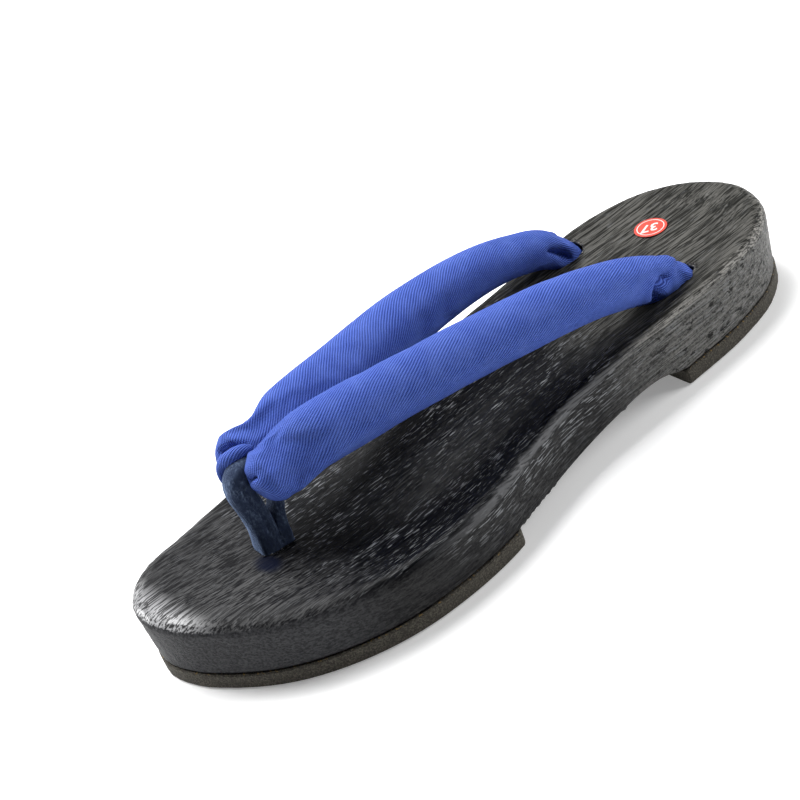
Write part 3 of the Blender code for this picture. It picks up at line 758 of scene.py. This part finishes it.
def makeSuede():
    made, tree, shader = newMaterial("navy_suede_napped")
    look = suedeLook
    place = add(tree, "TexCoord", {}).outputs["Object"]
    nap = noiseMap(tree, place, look["napScale"], (1, 1, 0.6), 4, 0.75)
    patch = noiseMap(tree, place, 260, (1, 1, 0.5), 3, 0.6)
    share = calc(tree, "MULTIPLY", band(tree, nap, 0.42, 0.75), band(tree, patch, 0.3, 0.75))
    plug(tree, blendColour(tree, share, look["colour"], look["napColour"]), shader, "Base Color")
    shader.inputs["Roughness"].default_value = 0.95
    shader.inputs["Specular IOR Level"].default_value = 0.15
    shader.inputs["Sheen Weight"].default_value = 0.6
    shader.inputs["Sheen Roughness"].default_value = 0.35
    shader.inputs["Sheen Tint"].default_value = (0.45, 0.62, 1.0, 1)
    plug(tree, bump(tree, nap, 0.0004, 0.8), shader, "Normal")
    return made


loopLook = {"middle": -0.0056, "corner": 0.36}

loopRows = (
    # y, z, thickness, width, squareness, in millimetres
    (-80.4, 11.0, 7.2, 7.6, 0.8),
    (-80.4, 18.0, 7.6, 8.2, 0.8),
    (-80.4, 22.6, 8.2, 8.6, 0.8),
    (-80.2, 25.6, 8.0, 8.4, 0.5),
    (-80.1, 29.0, 7.8, 8.4, 0.2),
    (-80.4, 35.0, 8.2, 8.7, 0.0),
    (-81.4, 41.0, 8.8, 8.9, 0.0),
    (-81.9, 45.5, 8.4, 8.9, 0.0),
    (-81.4, 49.0, 6.8, 8.5, 0.0),
    (-79.4, 51.4, 4.4, 7.6, 0.0),
    (-76.4, 52.0, 3.2, 7.0, 0.0),
    (-73.2, 51.8, 2.9, 7.0, 0.0),
    (-70.2, 50.6, 2.9, 7.0, 0.0),
    (-67.9, 48.0, 2.9, 7.0, 0.0),
    (-67.4, 44.6, 2.9, 7.0, 0.0),
    (-69.2, 40.6, 3.0, 7.0, 0.0),
    (-71.6, 36.4, 3.4, 7.0, 0.0),
    (-73.8, 32.0, 4.0, 7.4, 0.0),
    (-75.2, 27.6, 4.8, 8.0, 0.4),
    (-75.8, 23.4, 5.2, 8.6, 0.8),
    (-76.0, 18.0, 4.6, 8.2, 0.8),
    (-76.2, 11.0, 4.0, 7.6, 0.8),
)

loopFolds = (
    # depth, width, points: the furrow between the rolled edges, and the edge
    (0.55, 0.8, ((-1.9, -82.6, 50.2), (-1.2, -80.8, 47.1), (-1.1, -80.7, 42.5), (-1.2, -80.4, 38.2), (-1.5, -79.9, 33.8), (-1.7, -79.8, 28.8))),
    (-0.35, 1.3, ((-1.6, -79.4, 47.0), (-1.2, -79.0, 41.0), (-1.4, -78.6, 33.0), (-1.6, -78.4, 28.0))),
    (0.35, 1.0, ((-7.0, -85.6, 47.0), (-6.4, -85.4, 42.0), (-6.6, -84.6, 36.0))),
)


def spotOf(vertex):
    return tuple(round(value * 1e6) for value in vertex.co)


def makeLoop(suede):
    # a block is extruded from station to station, each end face placed, turned and sized
    rows = np.array(loopRows) * mm
    ahead = np.gradient(rows[:, :2], axis=0)
    bpy.ops.object.select_all(action="DESELECT")
    bpy.ops.mesh.primitive_plane_add(size=1, location=(0, 0, 0))
    piece = bpy.context.object
    piece.name = piece.data.name = "suede_loop"
    bpy.ops.object.mode_set(mode="EDIT")
    bpy.ops.mesh.subdivide(number_cuts=3)
    edit = bmesh.from_edit_mesh(piece.data)
    known = {spotOf(v): v.co[:2] for v in edit.verts}     # where each vertex sits in the section
    count = len(rows)
    for station in range(count):
        if station:
            bpy.ops.mesh.extrude_region_move()
            edit = bmesh.from_edit_mesh(piece.data)
        y, z, thick, wide = rows[station][:4]
        corner = loopLook["corner"] * (1 - loopRows[station][4])
        go = Vector((0, ahead[station][0], ahead[station][1])).normalized()
        face = Vector((1, 0, 0)).cross(go)       # from the strap side out
        chosen = [(v, known[spotOf(v)]) for v in edit.verts if v.select]
        for v, (across, through) in chosen:
            rounded = (across * sqrt(1 - corner * (2 * through) ** 2), through * sqrt(1 - corner * (2 * across) ** 2))
            v.co = Vector((loopLook["middle"], y, z)) + Vector((1, 0, 0)) * rounded[0] * wide + face * rounded[1] * thick
        known = {spotOf(v): spot for v, spot in chosen}
        bmesh.update_edit_mesh(piece.data)
    bpy.ops.mesh.select_all(action="SELECT")
    bpy.ops.mesh.normals_make_consistent(inside=False)
    bpy.ops.object.mode_set(mode="OBJECT")
    modify(piece, "SUBSURF", levels=3, render_levels=3)
    co, out = points(piece), normals(piece)
    lift = 0.00012 * softNoise(co, (0.0030, 0.0030, 0.008), 5.0) + 0.00008 * softNoise(co, (0.0007, 0.0007, 0.0012), 9.0)
    co = laidFolds(co + out * lift[:, None], out, loopFolds)
    movePoints(piece, co)
    piece.data.materials.append(suede)
    pick(piece)
    bpy.ops.object.shade_smooth()
    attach(piece, "root")
    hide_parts("toe_loop")
    print("loop done:", len(piece.data.polygons), "faces")
    return piece


# lacquer crumbs and splinters pushed up round the holes

splinterLook = {
    "colour": (0.006, 0.006, 0.007, 1),
    "glintColour": (0.10, 0.10, 0.10, 1),
    "count": 15,
    "length": 0.0013,
    "width": 0.0007,
    "seed": 11,
}

splinterRims = (
    # hole centre x, y, half width, half length, first and last direction in degrees, in millimetres
    (-30.9, 66.2, 5.2, 6.2, 20, 165),
    (14.7, 74.6, 5.6, 6.4, 40, 150),
    (-5.6, -79.0, 5.2, 6.4, -60, 20),
)


def makeLacquer():
    made, tree, shader = newMaterial("black_lacquer_crumbs")
    place = add(tree, "TexCoord", {}).outputs["Object"]
    flake = noiseMap(tree, place, 1500, (1, 1, 1), 2, 0.5)
    colour = blendColour(tree, band(tree, flake, 0.55, 0.65), splinterLook["colour"], splinterLook["glintColour"])
    plug(tree, colour, shader, "Base Color")
    plug(tree, bump(tree, flake, 0.0004, 0.8), shader, "Normal")
    shader.inputs["Roughness"].default_value = 0.16
    return made


def makeSplinters(base):
    look = splinterLook
    rng = np.random.default_rng(look["seed"])
    surface = BVHTree.FromPolygons([v.co[:] for v in base.data.vertices], [p.vertices[:] for p in base.data.polygons])
    deselectAll()
    bpy.ops.mesh.primitive_cone_add(vertices=6, radius1=look["width"] / 2, radius2=0.00008, depth=look["length"])
    first = bpy.context.object
    first.name = first.data.name = "hole_splinters"
    modify(first, "BEVEL", width=0.00006, segments=1, limit_method="ANGLE")
    parts = [first]
    for x, y, halfWide, halfLong, fromTurn, toTurn in splinterRims:
        for index in range(look["count"]):
            turn = radians(fromTurn + (toTurn - fromTurn) * (index + rng.uniform(0, 1)) / look["count"])
            reach = rng.uniform(0.98, 1.12)
            spot = Vector((x + halfWide * reach * cos(turn), y + halfLong * reach * sin(turn), 60)) * mm
            found = surface.ray_cast(spot, Vector((0, 0, -1)))[0]
            if found is None or found.z < 0.018:
                continue
            part = first.copy()
            part.data = first.data.copy()
            scene.collection.objects.link(part)
            part.location = found + Vector((0, 0, 0.0001))
            part.rotation_euler = (rng.uniform(-1.4, 1.4), rng.uniform(-1.4, 1.4), rng.uniform(0, 6.28))
            size = rng.uniform(0.5, 1.15)
            part.scale = (size, size * rng.uniform(0.4, 1.0), size)
            parts.append(part)
    first.location = parts[1].location
    for part in parts:
        settle(part)
    pick(first)
    for part in parts:
        part.select_set(True)
    bpy.ops.object.join()
    first.data.materials.append(makeLacquer())
    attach(first, "root")
    print("splinters done:", len(parts))
    return first


# size sticker: red paper disc, white ring and the size number

stickerLook = {
    "red": (0.500, 0.040, 0.022, 1),
    "white": (0.60, 0.58, 0.56, 1),
    "turn": radians(-127),       # reading direction of the number
    "ringRadius": 0.00475,
    "ringWidth": 0.00030,
    "numberHeight": 0.0045,
    "printThickness": 0.00004,
    "printHeight": 0.00016,      # the paper's upper face
}


def makePaper(name, colour):
    made, tree, shader = newMaterial(name)
    place = add(tree, "TexCoord", {}).outputs["Object"]
    fibre = noiseMap(tree, place, 1800, (1, 1, 1), 3, 0.6)
    wear = noiseMap(tree, place, 500, (1, 1, 1), 4, 0.7)
    darker = tuple(part * 0.82 for part in colour[:3]) + (1,)
    plug(tree, blendColour(tree, band(tree, wear, 0.35, 0.75), colour, darker), shader, "Base Color")
    plug(tree, calc(tree, "ADD", calc(tree, "MULTIPLY", fibre, 0.2), 0.38), shader, "Roughness")
    plug(tree, bump(tree, fibre, 0.00003, 0.5), shader, "Normal")
    return made


def makeSticker():
    look = stickerLook
    low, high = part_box("size_sticker")
    middle = (low + high) / 2
    co = points(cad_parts["size_sticker"])
    fit = np.linalg.lstsq(np.column_stack([co[:, :2], np.ones(len(co))]), co[:, 2], rcond=None)[0]
    lean = Vector((-fit[0], -fit[1], 1)).normalized()
    radius = (high.x - low.x) / 2
    deselectAll()
    bpy.ops.mesh.primitive_cylinder_add(vertices=128, radius=radius, depth=0.00028, location=(0, 0, 0.00002))
    disc = bpy.context.object
    disc.name = disc.data.name = "size_sticker_paper"
    modify(disc, "BEVEL", width=0.00008, segments=2, limit_method="ANGLE")
    disc.data.materials.append(makePaper("sticker_red", look["red"]))
    disc.data.materials.append(makePaper("sticker_white", look["white"]))
    parts = []
    deselectAll()
    bpy.ops.mesh.primitive_circle_add(vertices=128, radius=look["ringRadius"], fill_type="NOTHING",
                                      location=(0, 0, look["printHeight"]))
    ring = bpy.context.object
    bpy.ops.object.mode_set(mode="EDIT")
    bpy.ops.mesh.select_all(action="SELECT")
    bpy.ops.mesh.extrude_region_move()
    share = (look["ringRadius"] - look["ringWidth"]) / look["ringRadius"]
    bpy.ops.transform.resize(value=(share, share, share))
    bpy.ops.mesh.select_all(action="SELECT")
    bpy.ops.mesh.extrude_region_move(TRANSFORM_OT_translate={"value": (0, 0, look["printThickness"])})
    bpy.ops.object.mode_set(mode="OBJECT")
    parts.append(ring)
    deselectAll()
    bpy.ops.object.text_add(location=(0, 0, look["printHeight"]))
    number = bpy.context.object
    number.data.body = "37"
    number.data.size = look["numberHeight"] * 1.38
    number.data.align_x = "CENTER"
    number.data.align_y = "CENTER"
    number.data.extrude = look["printThickness"] / 2
    number.data.offset = 0.00012
    number.data.shear = 0.18
    bpy.ops.object.convert(target="MESH")
    number = bpy.context.object
    number.rotation_euler.z = look["turn"]
    settle(number)
    parts.append(number)
    for part in parts:
        settle(part)
        part.data.materials.clear()
        part.data.materials.append(disc.data.materials[1])
    pick(disc)
    for part in parts:
        part.select_set(True)
    bpy.ops.object.join()
    disc.rotation_euler = Vector((0, 0, 1)).rotation_difference(lean).to_euler()
    disc.location = middle
    settle(disc)
    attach(disc, "root")
    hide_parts("size_sticker")
    print("sticker done")
    return disc


# studio: pale floor, soft boxes, the camera of the photograph

cameraLook = {
    "azimuth": radians(65.251),
    "height": radians(33.230),
    "roll": radians(21.782),
    "focal": 79.02,            # on a 36 mm sensor
    "distance": 0.60368,
    "target": (-0.05702, 0.00080, 0.0),
}

softBoxes = (
    # name, direction, distance, width, height, power
    ("key_box", (-0.45, -0.05, 1.00), 1.3, 0.90, 0.90, 34),
    ("toe_side_box", (-0.76, -0.55, 0.35), 1.1, 0.35, 0.45, 6),
    ("inner_side_box", (-0.95, -0.08, 0.24), 1.2, 0.28, 0.26, 2.2),
    ("back_box", (-0.76, 0.35, 0.55), 1.2, 1.00, 0.70, 1.3),
    ("heel_side_box", (0.35, 0.85, 0.40), 1.2, 0.60, 0.60, 11),
)


studioLook = {
    "floorColour": (0.86, 0.86, 0.86, 1),
    "floorGlow": 0.24,           # keeps the floor near white
    "airColour": (0.96, 0.98, 1.0, 1),
    "airStrength": 0.13,
}


def makeStudio():
    deselectAll()
    bpy.ops.mesh.primitive_plane_add(size=6, location=(0, 0, -0.0002))
    floor = bpy.context.object
    floor.name = floor.data.name = "studio_floor"
    made, tree, shader = newMaterial("pale_floor")
    shader.inputs["Base Color"].default_value = studioLook["floorColour"]
    shader.inputs["Roughness"].default_value = 0.9
    shader.inputs["Specular IOR Level"].default_value = 0.1
    shader.inputs["Emission Color"].default_value = (1, 1, 1, 1)
    shader.inputs["Emission Strength"].default_value = studioLook["floorGlow"]
    floor.data.materials.append(made)
    world = bpy.data.worlds.new("studio_air")
    world.use_nodes = True
    world.node_tree.nodes["Background"].inputs[0].default_value = studioLook["airColour"]
    world.node_tree.nodes["Background"].inputs[1].default_value = studioLook["airStrength"]
    scene.world = world
    for name, direction, distance, wide, high, power in softBoxes:
        light = bpy.data.lights.new(name, "AREA")
        light.shape = "RECTANGLE"
        light.size, light.size_y = wide, high
        light.energy = power
        lamp = bpy.data.objects.new(name, light)
        way = Vector(direction).normalized()
        lamp.location = way * distance
        lamp.rotation_euler = way.to_track_quat("Z", "Y").to_euler()
        scene.collection.objects.link(lamp)
    look = cameraLook
    azimuth, height, roll = look["azimuth"], look["height"], look["roll"]
    back = Vector((sin(azimuth) * cos(height), -cos(azimuth) * cos(height), sin(height)))
    right = Vector((cos(azimuth), sin(azimuth), 0))
    upward = back.cross(right)
    across = right * cos(roll) - upward * sin(roll)
    upright = right * sin(roll) + upward * cos(roll)
    lens = bpy.data.cameras.new("photo_camera")
    lens.lens = look["focal"]
    lens.sensor_width = 36
    lens.clip_start, lens.clip_end = 0.01, 20
    camera = bpy.data.objects.new("photo_camera", lens)
    camera.matrix_world = Matrix((across, upright, back)).transposed().to_4x4()
    camera.location = Vector(look["target"]) + back * look["distance"]
    scene.collection.objects.link(camera)
    scene.camera = camera
    scene.view_settings.view_transform = "Standard"
    scene.view_settings.look = "None"
    print("studio done")


makeStudio()
wood = makeWood()
base = makeBase(wood)
rubber = makeRubber()
makePad("fore_rubber_sole", "fore_pad", rubber)
makePad("heel_rubber_sole", "heel_pad", rubber)
twill = makeTwill()
makeArm("strap_outer_arm", outerArmRows, 1, outerFolds, twill)
makeArm("strap_inner_arm", innerArmRows, -1, innerFolds, twill)
makeLip(twill)
makeLoop(makeSuede())
makeSplinters(base)
makeSticker()
